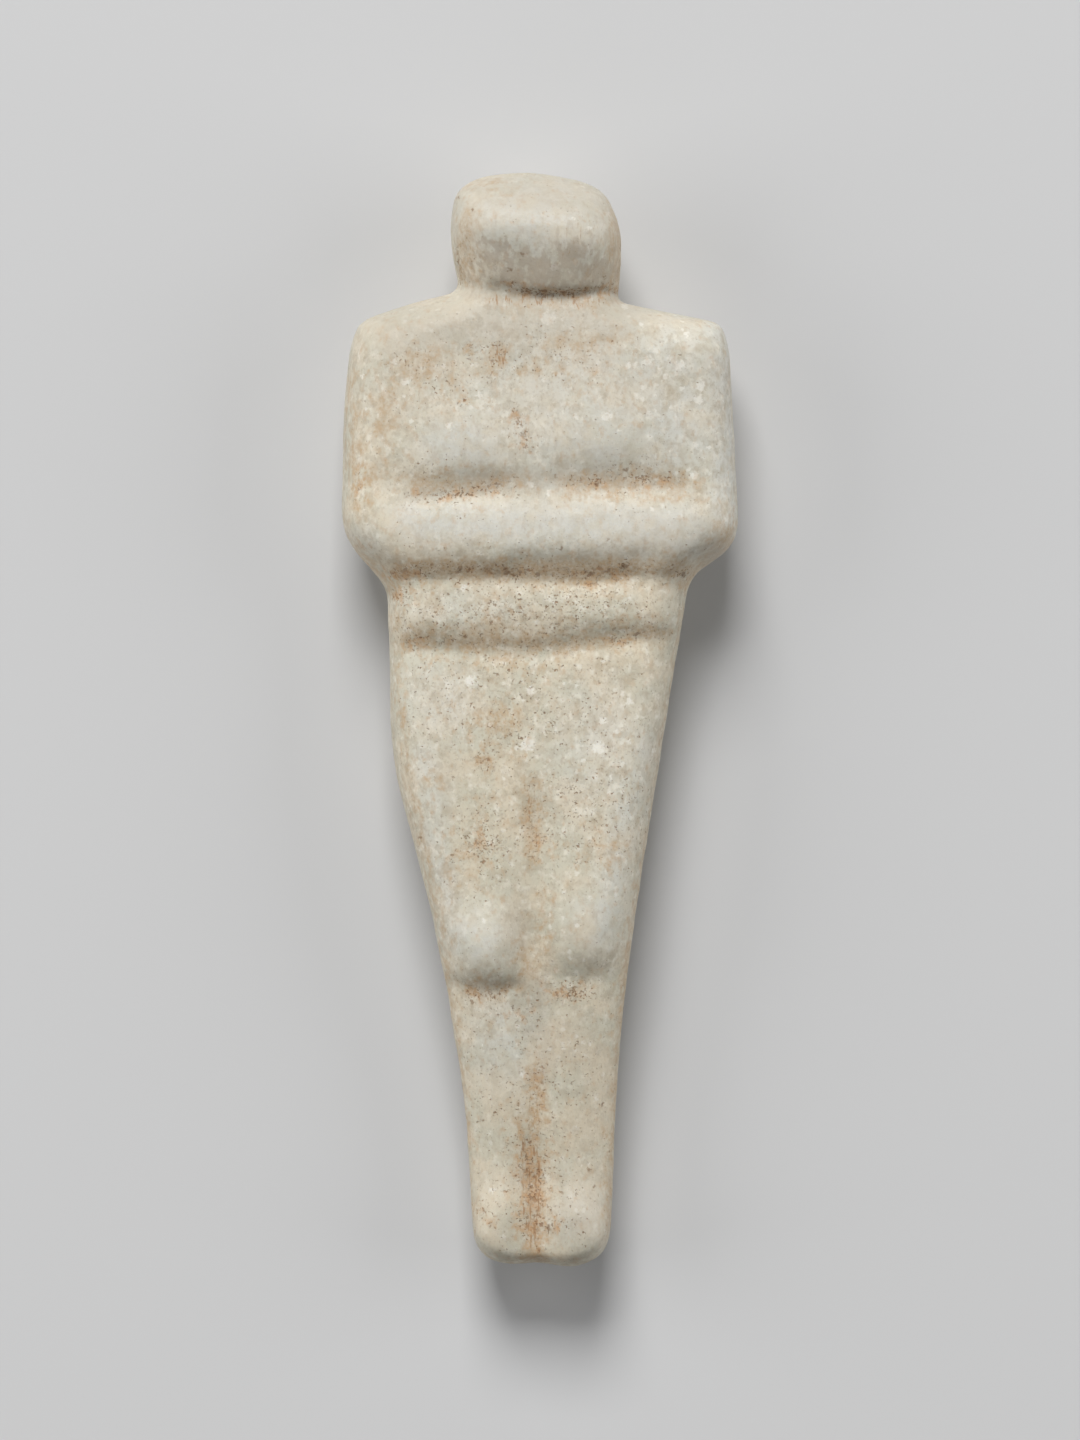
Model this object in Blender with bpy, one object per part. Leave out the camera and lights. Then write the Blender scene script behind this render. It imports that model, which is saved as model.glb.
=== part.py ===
"""Steatopygous marble figurine with folded arms, carved from one slab and lying on its back.

X runs across the figure, Y from the feet to the head and Z out of its front. Sizes are in metres.
The slab is sawn to an outline, its edges are rubbed round, and the forms are then cut into it.
"""

from collections import namedtuple
from math import pi

import bmesh
import bpy
import numpy as np

# Overall sizes
LENGTH = 0.200
WIDTH = 0.0728
THICKNESS = 0.0300

# Rubbed edges: how far in from the outline the rounding reaches
FRONT_EDGE = 0.0063
BACK_EDGE = 0.0090
HEAD_EDGE = 0.0085
LEG_EDGE = 0.0100
SOLE_EDGE = 0.0026
FRONT_CROWN = 0.0010
BACK_CROWN = 0.0020

# Forms on the front
BREAST_RISE = 0.0023
BREAST_SPREAD = 0.0078
STERNUM_DEPTH = 0.0005
CHIN_CREASE_DEPTH = 0.0004
BREAST_CREASE_DEPTH = 0.0004
ARM_CREASE_DEPTH = 0.0003
BELLY_CREASE_DEPTH = 0.0002
FINE_CREASE_SPREAD = 0.0009
SOFT_CREASE_SPREAD = 0.0012
LEFT_KNEE_RISE = 0.0029
RIGHT_KNEE_RISE = 0.0018
KNEE_SPREAD = 0.0058
LEFT_FOOT_RISE = 0.0010
RIGHT_FOOT_RISE = 0.0016
FOOT_SPREAD = 0.0050
THIGH_VALLEY_DEPTH = 0.0015
SHIN_GROOVE_DEPTH = 0.0009
FOOT_GROOVE_DEPTH = 0.0020
VALLEY_SPREAD = 0.0027
GROOVE_SPREAD = 0.0024
SOLE_NOTCH = 0.0009
SOLE_NOTCH_SPREAD = 0.0022

# Forms on the back
SPINE_DEPTH = 0.0009
SPINE_SPREAD = 0.0022
CLEFT_DEPTH = 0.0032
SEAT_RISE = 0.0014
SEAT_SPREAD = 0.0085
REAR_GROOVE_DEPTH = 0.0016
REAR_GROOVE_SPREAD = 0.0015

# Where the rounding changes, as shares of the length
LEG_ROUNDING_START = 0.56
LEG_ROUNDING_SPAN = 0.20
HEAD_ROUNDING_END = 0.125
HEAD_ROUNDING_SPAN = 0.02
SOLE_ROUNDING_START = 0.92
SOLE_ROUNDING_SPAN = 0.05

# Fineness of the mesh
FRONT_SEGMENTS = 28
BACK_SEGMENTS = 20
SECTION_SAMPLES = 161
EDGE_STEP = 0.00015
EASING_STEPS = 12

MARBLE_COLOUR = (0.61, 0.55, 0.45, 1.0)
MARBLE_ROUGHNESS = 0.5

# A corner of an outline or a profile: its place along the figure as a share of the length, its
# size as a share of the half width or of the thickness, and how much of the length eases it.
Corner = namedtuple("Corner", "along size easing")

LEFT_OUTLINE = (
    Corner(0.000, 0.045, 0.0),
    Corner(0.002, 0.270, 0.020),
    Corner(0.014, 0.415, 0.020),
    Corner(0.040, 0.450, 0.020),
    Corner(0.070, 0.450, 0.018),
    Corner(0.105, 0.402, 0.008),
    Corner(0.111, 0.450, 0.003),
    Corner(0.118, 0.630, 0.008),
    Corner(0.137, 0.940, 0.020),
    Corner(0.207, 0.987, 0.036),
    Corner(0.332, 1.000, 0.026),
    Corner(0.380, 0.764, 0.014),
    Corner(0.536, 0.751, 0.050),
    Corner(0.664, 0.558, 0.040),
    Corner(0.742, 0.472, 0.036),
    Corner(0.847, 0.379, 0.036),
    Corner(0.916, 0.355, 0.024),
    Corner(0.994, 0.330, 0.030),
    Corner(1.000, 0.000, 0.0),
)

RIGHT_OUTLINE = (
    Corner(0.000, -0.045, 0.0),
    Corner(0.007, 0.205, 0.016),
    Corner(0.017, 0.325, 0.016),
    Corner(0.040, 0.385, 0.020),
    Corner(0.065, 0.417, 0.030),
    Corner(0.118, 0.390, 0.005),
    Corner(0.137, 0.920, 0.014),
    Corner(0.160, 0.955, 0.016),
    Corner(0.216, 0.972, 0.030),
    Corner(0.341, 1.003, 0.022),
    Corner(0.368, 0.754, 0.014),
    Corner(0.573, 0.570, 0.046),
    Corner(0.692, 0.467, 0.050),
    Corner(0.829, 0.384, 0.050),
    Corner(0.930, 0.370, 0.024),
    Corner(0.984, 0.350, 0.024),
    Corner(0.999, 0.215, 0.016),
    Corner(1.001, 0.000, 0.0),
)

FRONT_PROFILE = (
    Corner(-0.010, 0.80, 0.0),
    Corner(0.051, 1.00, 0.018),
    Corner(0.072, 0.968, 0.012),
    Corner(0.109, 0.845, 0.004),
    Corner(0.1155, 0.79, 0.003),
    Corner(0.127, 0.803, 0.008),
    Corner(0.150, 0.84, 0.012),
    Corner(0.290, 0.845, 0.014),
    Corner(0.318, 0.897, 0.010),
    Corner(0.347, 0.907, 0.011),
    Corner(0.372, 0.783, 0.008),
    Corner(0.396, 0.800, 0.011),
    Corner(0.412, 0.787, 0.010),
    Corner(0.433, 0.725, 0.007),
    Corner(0.480, 0.750, 0.030),
    Corner(0.655, 0.810, 0.030),
    Corner(0.750, 0.705, 0.016),
    Corner(0.810, 0.675, 0.030),
    Corner(0.900, 0.600, 0.018),
    Corner(0.940, 0.625, 0.014),
    Corner(1.010, 0.600, 0.0),
)

BACK_PROFILE = (
    Corner(-0.010, 0.26, 0.0),
    Corner(0.030, 0.10, 0.014),
    Corner(0.070, 0.07, 0.016),
    Corner(0.106, 0.16, 0.012),
    Corner(0.130, 0.09, 0.010),
    Corner(0.175, -0.015, 0.022),
    Corner(0.316, -0.015, 0.022),
    Corner(0.367, 0.04, 0.014),
    Corner(0.432, 0.19, 0.032),
    Corner(0.508, 0.03, 0.030),
    Corner(0.588, 0.03, 0.020),
    Corner(0.638, 0.20, 0.022),
    Corner(0.735, 0.24, 0.034),
    Corner(0.820, 0.16, 0.034),
    Corner(0.902, 0.20, 0.026),
    Corner(0.962, 0.13, 0.014),
    Corner(1.010, 0.20, 0.0),
)

# A stretch of the length and the number of rings cut in it, closer where the form turns sharply.
Stretch = namedtuple("Stretch", "end rings")

HEAD_TOP_RINGS = 8
SOLE_RINGS = 8
HEAD_TOP_END = 0.030
SOLE_START = 0.968

STRETCHES = (
    Stretch(0.100, 6),
    Stretch(0.1185, 7),
    Stretch(0.142, 8),
    Stretch(0.270, 7),
    Stretch(0.303, 6),
    Stretch(0.352, 5),
    Stretch(0.385, 8),
    Stretch(0.420, 4),
    Stretch(0.443, 5),
    Stretch(0.500, 3),
    Stretch(0.650, 7),
    Stretch(0.700, 4),
    Stretch(0.755, 8),
    Stretch(0.920, 7),
    Stretch(SOLE_START, 4),
)

# A bend shifts the front profile along the figure by a share of the length that varies across it.
Bend = namedtuple("Bend", "along spread line")

BENDS = (
    # The brow climbs towards the left
    Bend(0.066, 0.020, ((-0.45, -0.016), (-0.15, -0.004), (0.05, 0.0), (0.40, 0.002))),
    # The chin sags in the middle
    Bend(0.114, 0.022, ((-0.45, -0.009), (-0.17, -0.006), (-0.06, 0.0), (0.18, 0.0), (0.40, -0.004))),
    # The crease under the belly climbs to the right
    Bend(0.429, 0.022, ((-0.70, 0.001), (-0.15, 0.004), (0.03, 0.004), (0.42, -0.007), (0.62, -0.005))),
    # The right knee sits a little higher than the left
    Bend(0.730, 0.030, ((-0.45, 0.004), (-0.10, 0.004), (0.10, -0.004), (0.45, -0.006))),
)

# A swell rises round a place, with its own spread across; its reach towards the head and towards
# the feet is a multiple of that spread. It ends in a steeper edge on the side of the feet. A higher
# fall makes its top flatter from side to side.
Swell = namedtuple("Swell", "across along rise spread upper lower fall")

ROUND_TOP = 2.0
FLAT_TOP = 3.2

BREASTS = (
    Swell(-0.40, 0.247, BREAST_RISE, BREAST_SPREAD, 0.85, 0.80, ROUND_TOP),
    Swell(0.31, 0.237, BREAST_RISE, BREAST_SPREAD, 0.85, 0.80, ROUND_TOP),
)
KNEES = (
    Swell(-0.30, 0.708, LEFT_KNEE_RISE, KNEE_SPREAD, 0.95, 1.14, FLAT_TOP),
    Swell(0.24, 0.696, RIGHT_KNEE_RISE, KNEE_SPREAD, 0.95, 0.97, FLAT_TOP),
)
FEET = (
    Swell(-0.22, 0.951, LEFT_FOOT_RISE, FOOT_SPREAD, 0.80, 1.50, ROUND_TOP),
    Swell(0.19, 0.962, RIGHT_FOOT_RISE, FOOT_SPREAD, 0.80, 1.50, ROUND_TOP),
)
SEAT = (
    Swell(-0.30, 0.545, SEAT_RISE, SEAT_SPREAD, 1.10, 1.10, ROUND_TOP),
    Swell(0.24, 0.545, SEAT_RISE, SEAT_SPREAD, 1.10, 1.10, ROUND_TOP),
)

# A furrow follows a line of (run, offset) pairs and fades out over a share of the run at both ends.
Furrow = namedtuple("Furrow", "line depth spread fade")

CHIN_LINE = ((-0.42, 0.107), (-0.16, 0.110), (-0.05, 0.1155), (0.18, 0.1155), (0.40, 0.112))
LEFT_BREAST_LINE = ((-0.72, 0.298), (-0.40, 0.294), (-0.08, 0.290))
RIGHT_BREAST_LINE = ((0.10, 0.290), (0.45, 0.287), (0.80, 0.287))
ARM_LINE = ((-0.80, 0.374), (-0.20, 0.371), (0.20, 0.373), (0.80, 0.369))
BELLY_LINE = ((-0.72, 0.433), (0.00, 0.437), (0.42, 0.422), (0.66, 0.426))

CROSS_FURROWS = (
    Furrow(CHIN_LINE, CHIN_CREASE_DEPTH, FINE_CREASE_SPREAD, 0.20),
    Furrow(LEFT_BREAST_LINE, BREAST_CREASE_DEPTH, SOFT_CREASE_SPREAD, 0.22),
    Furrow(RIGHT_BREAST_LINE, BREAST_CREASE_DEPTH, SOFT_CREASE_SPREAD, 0.22),
    Furrow(ARM_LINE, ARM_CREASE_DEPTH, FINE_CREASE_SPREAD, 0.20),
    Furrow(BELLY_LINE, BELLY_CREASE_DEPTH, FINE_CREASE_SPREAD, 0.25),
)

STERNUM_LINE = ((0.150, -0.05), (0.285, -0.04))
THIGH_LINE = ((0.545, -0.025), (0.740, -0.025))
SHIN_LINE = ((0.700, -0.030), (0.985, -0.040))
FOOT_LINE = ((0.880, -0.040), (1.010, 0.010))

FRONT_LENGTH_FURROWS = (
    Furrow(STERNUM_LINE, STERNUM_DEPTH, SPINE_SPREAD, 0.050),
    Furrow(THIGH_LINE, THIGH_VALLEY_DEPTH, VALLEY_SPREAD, 0.060),
    Furrow(SHIN_LINE, SHIN_GROOVE_DEPTH, GROOVE_SPREAD, 0.090),
    Furrow(FOOT_LINE, FOOT_GROOVE_DEPTH, GROOVE_SPREAD, 0.045),
)

SPINE_LINE = ((0.130, -0.02), (0.440, -0.02))
CLEFT_LINE = ((0.480, -0.03), (0.620, -0.03))
REAR_LEG_LINE = ((0.590, -0.03), (1.010, -0.01))

BACK_LENGTH_FURROWS = (
    Furrow(SPINE_LINE, SPINE_DEPTH, SPINE_SPREAD, 0.060),
    Furrow(CLEFT_LINE, CLEFT_DEPTH, VALLEY_SPREAD, 0.050),
    Furrow(REAR_LEG_LINE, REAR_GROOVE_DEPTH, REAR_GROOVE_SPREAD, 0.070),
)


def smooth_step(value):
    """Eased rise from 0 to 1."""
    value = np.clip(value, 0.0, 1.0)
    return value * value * (3.0 - 2.0 * value)


def eased_run(corners, size):
    """Points of the straight lines through the corners, with each corner cut by a curve."""
    places = np.array([(corner.along * LENGTH, corner.size * size) for corner in corners])
    points = [places[0]]
    for index in range(1, len(corners) - 1):
        here = places[index]
        ends = []
        for other in (places[index - 1], places[index + 1]):
            reach = np.linalg.norm(other - here)
            easing = min(corners[index].easing * LENGTH, reach / 2)
            ends.append(here + (other - here) * easing / reach)
        for share in np.linspace(0.0, 1.0, EASING_STEPS):
            first = ends[0] * (1 - share) + here * share
            last = here * (1 - share) + ends[1] * share
            points.append(first * (1 - share) + last * share)
    points.append(places[-1])
    return np.array(points)


def size_at(run, along):
    """Size that a run has at a place along the figure."""
    return np.interp(along, run[:, 0], run[:, 1])


def evenly(points, count):
    """Points spaced evenly along a run of points."""
    steps = np.linalg.norm(np.diff(points, axis=0), axis=1)
    travelled = np.concatenate([[0.0], np.cumsum(steps)])
    wanted = np.linspace(0.0, travelled[-1], count)
    columns = [np.interp(wanted, travelled, points[:, axis]) for axis in range(points.shape[1])]
    return np.column_stack(columns)


def outline_edge(left, right):
    """The closed outline as close, even points of (across, along), and their spacing."""
    down = np.column_stack([right[:, 1], right[:, 0]])
    up = np.column_stack([-left[::-1, 1], left[::-1, 0]])
    loop = np.concatenate([down, up, down[:1]])
    length = np.linalg.norm(np.diff(loop, axis=0), axis=1).sum()
    count = int(length / EDGE_STEP)
    return evenly(loop, count)[:-1], length / (count - 1)


def clearance(across, along, edge, step):
    """Distance in from the outline, softened so that its corners leave no mitre line."""
    gaps = (across[:, None] - edge[:, 0]) ** 2 + (along - edge[:, 1]) ** 2
    pull = (step / gaps**3).sum(axis=1) * 8 / (3 * pi)
    return pull**-0.2


def rounding(distance, reach):
    """Share of the full thickness at a distance in from the outline."""
    left = 1.0 - np.clip(distance / reach, 0.0, 1.0)
    return np.sqrt(1.0 - left * left)


def edge_reach(along, body_edge):
    """Rounding reaches further in on the head and the legs than on the torso and the sole."""
    share = along / LENGTH
    legs = smooth_step((share - LEG_ROUNDING_START) / LEG_ROUNDING_SPAN)
    head = smooth_step((HEAD_ROUNDING_END - share) / HEAD_ROUNDING_SPAN)
    sole = smooth_step((share - SOLE_ROUNDING_START) / SOLE_ROUNDING_SPAN)
    leg_edge = LEG_EDGE + (SOLE_EDGE - LEG_EDGE) * sole
    return body_edge + (leg_edge - body_edge) * legs + (HEAD_EDGE - body_edge) * head


def swell(across, along, form):
    """Height of a swell at a place."""
    half_width = WIDTH / 2
    sideways = (across - form.across * half_width) / form.spread
    lengthwise = (along - form.along * LENGTH) / form.spread
    if lengthwise < 0:
        lengthwise_fall = 0.5 * (lengthwise / form.upper) ** 2
    else:
        lengthwise_fall = (lengthwise / form.lower) ** 4
    return form.rise * np.exp(-0.5 * np.abs(sideways) ** form.fall - lengthwise_fall)


def furrow(run, offset, form, run_size, offset_size):
    """Depth of a furrow; run is the direction that it follows and offset the one across it."""
    line = np.array(form.line) * (run_size, offset_size)
    start, end = line[0, 0], line[-1, 0]
    fade = form.fade * run_size
    inside = smooth_step((run - start) / fade) * smooth_step((end - run) / fade)
    aside = offset - np.interp(run, line[:, 0], line[:, 1])
    return form.depth * inside * np.exp(-0.5 * (aside / form.spread) ** 2)


def bend_shift(across, along, bend):
    """How far a bend shifts the profile at a place."""
    line = np.array(bend.line) * (WIDTH / 2, LENGTH)
    nearness = np.exp(-0.5 * ((along / LENGTH - bend.along) / bend.spread) ** 2)
    return np.interp(across, line[:, 0], line[:, 1]) * nearness


def front_height(across, along, profile):
    """Height of the front before its edges are rounded."""
    half_width = WIDTH / 2
    shift = sum(bend_shift(across, along, bend) for bend in BENDS)
    height = size_at(profile, along - shift)
    height = height - FRONT_CROWN * (across / half_width) ** 2
    for form in BREASTS + KNEES + FEET:
        height = height + swell(across, along, form)
    for form in CROSS_FURROWS:
        height = height - furrow(across, along, form, half_width, LENGTH)
    for form in FRONT_LENGTH_FURROWS:
        height = height - furrow(along, across, form, LENGTH, half_width)
    return height


def back_height(across, along, profile):
    """Height of the back before its edges are rounded."""
    height = size_at(profile, along) + BACK_CROWN * (across / (WIDTH / 2)) ** 2
    for form in SEAT:
        height = height - swell(across, along, form)
    for form in BACK_LENGTH_FURROWS:
        height = height + furrow(along, across, form, LENGTH, WIDTH / 2)
    return height


def section(along, runs, edge, step):
    """One ring round the figure: over the front from left to right, then back under it."""
    left, right, front_run, back_run = runs
    turn = np.linspace(-pi / 2, pi / 2, SECTION_SAMPLES)
    start = -size_at(left, along)
    end = size_at(right, along)
    across = start + (end - start) * (1 + np.sin(turn)) / 2
    distance = np.zeros(SECTION_SAMPLES)
    distance[1:-1] = clearance(across[1:-1], along, edge, step)
    front = front_height(across, along, front_run)
    back = back_height(across, along, back_run)
    seam = (size_at(front_run, along) + size_at(back_run, along)) / 2
    front = seam + (front - seam) * rounding(distance, edge_reach(along, FRONT_EDGE))
    back = seam - (seam - back) * rounding(distance, edge_reach(along, BACK_EDGE))
    back = np.maximum(back, 0.0)
    over = evenly(np.column_stack([across, front]), FRONT_SEGMENTS + 1)
    under = evenly(np.column_stack([across, back])[::-1], BACK_SEGMENTS + 1)
    return np.concatenate([over[:-1], under[:-1]])


def ring_places():
    """Shares of the length at which rings are cut, closing in on both ends."""
    steps = np.arange(1, HEAD_TOP_RINGS + 1) / HEAD_TOP_RINGS
    places = list(HEAD_TOP_END * steps**2)
    for stretch in STRETCHES:
        places.extend(np.linspace(places[-1], stretch.end, stretch.rings + 1)[1:])
    steps = np.arange(1, SOLE_RINGS) / SOLE_RINGS
    places.extend(1 - (1 - SOLE_START) * (1 - steps) ** 2)
    return places


def notch_lift(across, along):
    """The sole is nicked between the feet, so its rings are drawn up there."""
    nearness = smooth_step((along / LENGTH - SOLE_START) / (1 - SOLE_START))
    return SOLE_NOTCH * nearness * np.exp(-0.5 * (across / SOLE_NOTCH_SPREAD) ** 2)


def figurine_mesh():
    """The whole figure as one closed skin of rings from the head to the sole."""
    left = eased_run(LEFT_OUTLINE, WIDTH / 2)
    right = eased_run(RIGHT_OUTLINE, WIDTH / 2)
    runs = (left, right, eased_run(FRONT_PROFILE, THICKNESS), eased_run(BACK_PROFILE, THICKNESS))
    edge, step = outline_edge(left, right)
    work = bmesh.new()
    rings = []
    for share in ring_places():
        along = share * LENGTH
        ring = []
        for across, height in section(along, runs, edge, step):
            lift = notch_lift(across, along)
            ring.append(work.verts.new((across, LENGTH / 2 - along + lift, height)))
        rings.append(ring)
    for upper, lower in zip(rings, rings[1:]):
        for index, vertex in enumerate(upper):
            following = (index + 1) % len(upper)
            work.faces.new((vertex, lower[index], lower[following], upper[following]))
    for ring in (rings[0], rings[-1]):
        work.faces.new(ring)
    bmesh.ops.triangulate(work, faces=work.faces[:])
    bmesh.ops.recalc_face_normals(work, faces=work.faces[:])
    mesh = bpy.data.meshes.new("figurine")
    work.to_mesh(mesh)
    work.free()
    mesh.shade_smooth()
    return mesh


def marble():
    material = bpy.data.materials.new("marble")
    material.use_nodes = True
    shader = material.node_tree.nodes["Principled BSDF"]
    shader.inputs["Base Color"].default_value = MARBLE_COLOUR
    shader.inputs["Roughness"].default_value = MARBLE_ROUGHNESS
    shader.inputs["Metallic"].default_value = 0.0
    return material


def main():
    for old in list(bpy.data.objects):
        bpy.data.objects.remove(old)
    mesh = figurine_mesh()
    mesh.materials.append(marble())
    figurine = bpy.data.objects.new("figurine", mesh)
    bpy.context.scene.collection.objects.link(figurine)


main()
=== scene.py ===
# %% [markdown]
# # A marble figurine with folded arms
#
# The real object is one figure, about a hand's length long, ground and carved from a single slab of
# coarse white marble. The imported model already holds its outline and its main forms. This lesson
# gives that body its carved skin: sharper creases, an uneven hand-rubbed surface, pits and chips,
# and the colour that long burial leaves in old stone.

from collections import namedtuple

import bpy
import numpy as np
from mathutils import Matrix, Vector


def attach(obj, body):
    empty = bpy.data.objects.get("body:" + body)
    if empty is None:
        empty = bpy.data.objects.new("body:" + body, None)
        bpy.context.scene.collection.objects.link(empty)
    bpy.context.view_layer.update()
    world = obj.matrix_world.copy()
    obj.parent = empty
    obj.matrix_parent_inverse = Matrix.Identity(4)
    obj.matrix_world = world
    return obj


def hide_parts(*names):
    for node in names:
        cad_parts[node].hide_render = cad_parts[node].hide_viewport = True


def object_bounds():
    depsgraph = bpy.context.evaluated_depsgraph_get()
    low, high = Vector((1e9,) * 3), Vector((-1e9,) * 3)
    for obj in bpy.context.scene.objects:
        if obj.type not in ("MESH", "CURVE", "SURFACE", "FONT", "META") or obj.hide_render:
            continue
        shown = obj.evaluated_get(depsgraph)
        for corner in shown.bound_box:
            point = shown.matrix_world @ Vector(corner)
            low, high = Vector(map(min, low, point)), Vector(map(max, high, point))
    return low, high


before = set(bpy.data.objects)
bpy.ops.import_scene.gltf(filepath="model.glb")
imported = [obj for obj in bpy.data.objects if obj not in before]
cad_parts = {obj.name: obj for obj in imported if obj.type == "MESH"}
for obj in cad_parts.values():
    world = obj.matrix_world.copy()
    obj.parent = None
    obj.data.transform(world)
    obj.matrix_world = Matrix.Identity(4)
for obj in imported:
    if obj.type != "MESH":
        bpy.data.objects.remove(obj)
cad_low, cad_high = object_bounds()
MM = 0.001

figure_size = cad_high - cad_low
print("figure", [round(side / MM, 1) for side in figure_size], "mm")

# %% [markdown]
# ## Floor and camera
#
# The figure has no base and its feet are too small to stand on, so it lies on its back and the
# camera looks straight down on it. A long lens keeps the outline true, as a studio photograph does.
# The floor could be a curved backdrop, but a plain pale sheet is enough and shows from every side.

# %% Lay the floor
FLOOR_SIZE = 4.0
PAPER_GREY = (0.60, 0.60, 0.60, 1.0)
PAPER_ROUGHNESS = 0.9
PAPER_GLOSS = 0.1

bpy.ops.object.select_all(action="DESELECT")
bpy.ops.mesh.primitive_plane_add(size=FLOOR_SIZE, location=(0.0, 0.0, 0.0))
floor = bpy.context.object
floor.name = "studio_floor"

paper = bpy.data.materials.new("plain_paper")
paper.use_nodes = True
paper_shader = paper.node_tree.nodes["Principled BSDF"]
paper_shader.inputs["Base Color"].default_value = PAPER_GREY
paper_shader.inputs["Roughness"].default_value = PAPER_ROUGHNESS
paper_shader.inputs["Specular IOR Level"].default_value = PAPER_GLOSS
floor.data.materials.append(paper)
print("floor", FLOOR_SIZE, "m across")

# %% Place the camera
PHOTO_HEIGHT = 1440
HEAD_TOP_ROW = 174
SOLE_ROW = 1267
WIDEST_LEVEL = 13 * MM
CAMERA_DISTANCE = 1.6
SENSOR = 36.0

shown_height = figure_size.y * PHOTO_HEIGHT / (SOLE_ROW - HEAD_TOP_ROW)
middle_row = (HEAD_TOP_ROW + SOLE_ROW) / 2

bpy.ops.object.camera_add(location=(0.0, 0.0, WIDEST_LEVEL + CAMERA_DISTANCE))
camera = bpy.context.object
camera.name = "camera_above"
camera.data.sensor_width = SENSOR
camera.data.lens = SENSOR * CAMERA_DISTANCE / shown_height
camera.location.y = (middle_row - PHOTO_HEIGHT / 2) / PHOTO_HEIGHT * shown_height
bpy.context.scene.camera = camera
print("lens", round(camera.data.lens), "mm, shows", round(shown_height / MM), "mm of height")

# %% [markdown]
# ## Light
#
# Soft light falls from the head's side, halfway up. It picks out every form that turns towards the
# head and leaves a soft shade below the chin, the breasts, the arms and the knees. A reflector on
# each side lights the rounded edges, a weak one lights the soles, and a faint even surround keeps
# the deepest shade open. Every lamp faces the middle of the figure. A sun lamp could stand in for
# the key, but its shadows would be too hard.

# %% Hang the lamps
Lamp = namedtuple("Lamp", "name place size power")

LAMPS = (
    Lamp("key_light", (-0.42, 3.12, 3.03), 1.95, 188.0),
    Lamp("left_reflector", (-1.00, 0.10, 0.45), 0.80, 4.9),
    Lamp("right_reflector", (1.00, 0.10, 0.45), 0.80, 4.4),
    Lamp("foot_reflector", (-0.25, -1.00, 0.50), 0.80, 0.9),
)
SURROUND_COLOUR = (0.93, 0.95, 1.0, 1.0)
SURROUND_STRENGTH = 0.06

for lamp in LAMPS:
    bpy.ops.object.light_add(type="AREA", location=lamp.place)
    light = bpy.context.object
    light.name = lamp.name
    light.data.size = lamp.size
    light.data.energy = lamp.power
    light.rotation_euler = Vector(lamp.place).to_track_quat("Z", "Y").to_euler()

world = bpy.data.worlds.new("studio")
world.use_nodes = True
surround = world.node_tree.nodes["Background"]
surround.inputs["Color"].default_value = SURROUND_COLOUR
surround.inputs["Strength"].default_value = SURROUND_STRENGTH
bpy.context.scene.world = world
bpy.context.scene.view_settings.view_transform = "Standard"
print(len(LAMPS), "lamps and an even surround")

# %% [markdown]
# ## The roughed-out block
#
# The carver's roughed-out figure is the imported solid. Its mesh is copied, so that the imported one
# stays as it is, and its loose triangles are merged into one skin. Fine carving needs small, even
# faces. A subdivision would keep the long and short faces of the rings, so a voxel remesh, which
# covers the form with squares of one size, follows it.

# %% Copy and refine the block
WELD_DISTANCE = 0.01 * MM
VOXEL = 0.60 * MM
SETTLING_PASSES = 6


def take(piece):
    """Selects one object alone and makes it the active one."""
    bpy.ops.object.select_all(action="DESELECT")
    piece.select_set(True)
    bpy.context.view_layer.objects.active = piece


def modify(piece, kind, name, **settings):
    """Adds a modifier, sets it and applies it."""
    take(piece)
    bpy.ops.object.modifier_add(type=kind)
    modifier = piece.modifiers[-1]
    modifier.name = name
    for setting, value in settings.items():
        setattr(modifier, setting, value)
    bpy.ops.object.modifier_apply(modifier=name)


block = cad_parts["figurine"]
figure = bpy.data.objects.new("carved_figurine", block.data.copy())
bpy.context.scene.collection.objects.link(figure)
figure.data.materials.clear()

take(figure)
bpy.ops.object.mode_set(mode="EDIT")
bpy.ops.mesh.select_all(action="SELECT")
bpy.ops.mesh.remove_doubles(threshold=WELD_DISTANCE)
bpy.ops.object.mode_set(mode="OBJECT")

modify(figure, "SUBSURF", "soften facets", levels=1, render_levels=1)
modify(figure, "REMESH", "even faces", mode="VOXEL", voxel_size=VOXEL, use_smooth_shade=True)
modify(figure, "SMOOTH", "settle", factor=0.5, iterations=SETTLING_PASSES)
print("block", len(figure.data.polygons), "faces")

# %% [markdown]
# ## Places on the figure
#
# Everything below is placed in millimetres: across from the middle line, positive to the right, and
# along from the middle of the length, positive towards the head. A ribbon follows a crease, a
# patch is an oval and a spot is one small round touch. Each gives every vertex a share from 0 to 1
# that fades at the rim, as a soft brush does. The lists of brushes run from the head to the feet.

# %% Brushes
Ribbon = namedtuple("Ribbon", "points width strength")
Patch = namedtuple("Patch", "across along wide long strength")
Spot = namedtuple("Spot", "across along radius")


def vertex_numbers(piece, name, size):
    """A value of every vertex, as rows of numbers."""
    numbers = np.empty(len(piece.data.vertices) * size)
    piece.data.vertices.foreach_get(name, numbers)
    return numbers.reshape(-1, size)


def smooth_step(value):
    """Eased rise from 0 to 1."""
    value = np.clip(value, 0.0, 1.0)
    return value * value * (3.0 - 2.0 * value)


def ribbon_share(spots, ribbon):
    """How strongly a ribbon's brush touches each spot."""
    nearest = np.full(len(spots), np.inf)
    points = np.array(ribbon.points) * MM
    for start, end in zip(points, points[1:]):
        run = end - start
        share = np.clip((spots - start) @ run / (run @ run), 0.0, 1.0)
        gap = np.linalg.norm(spots - start - share[:, None] * run, axis=1)
        nearest = np.minimum(nearest, gap)
    return ribbon.strength * np.exp(-0.5 * (nearest / (ribbon.width * MM)) ** 2)


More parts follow.
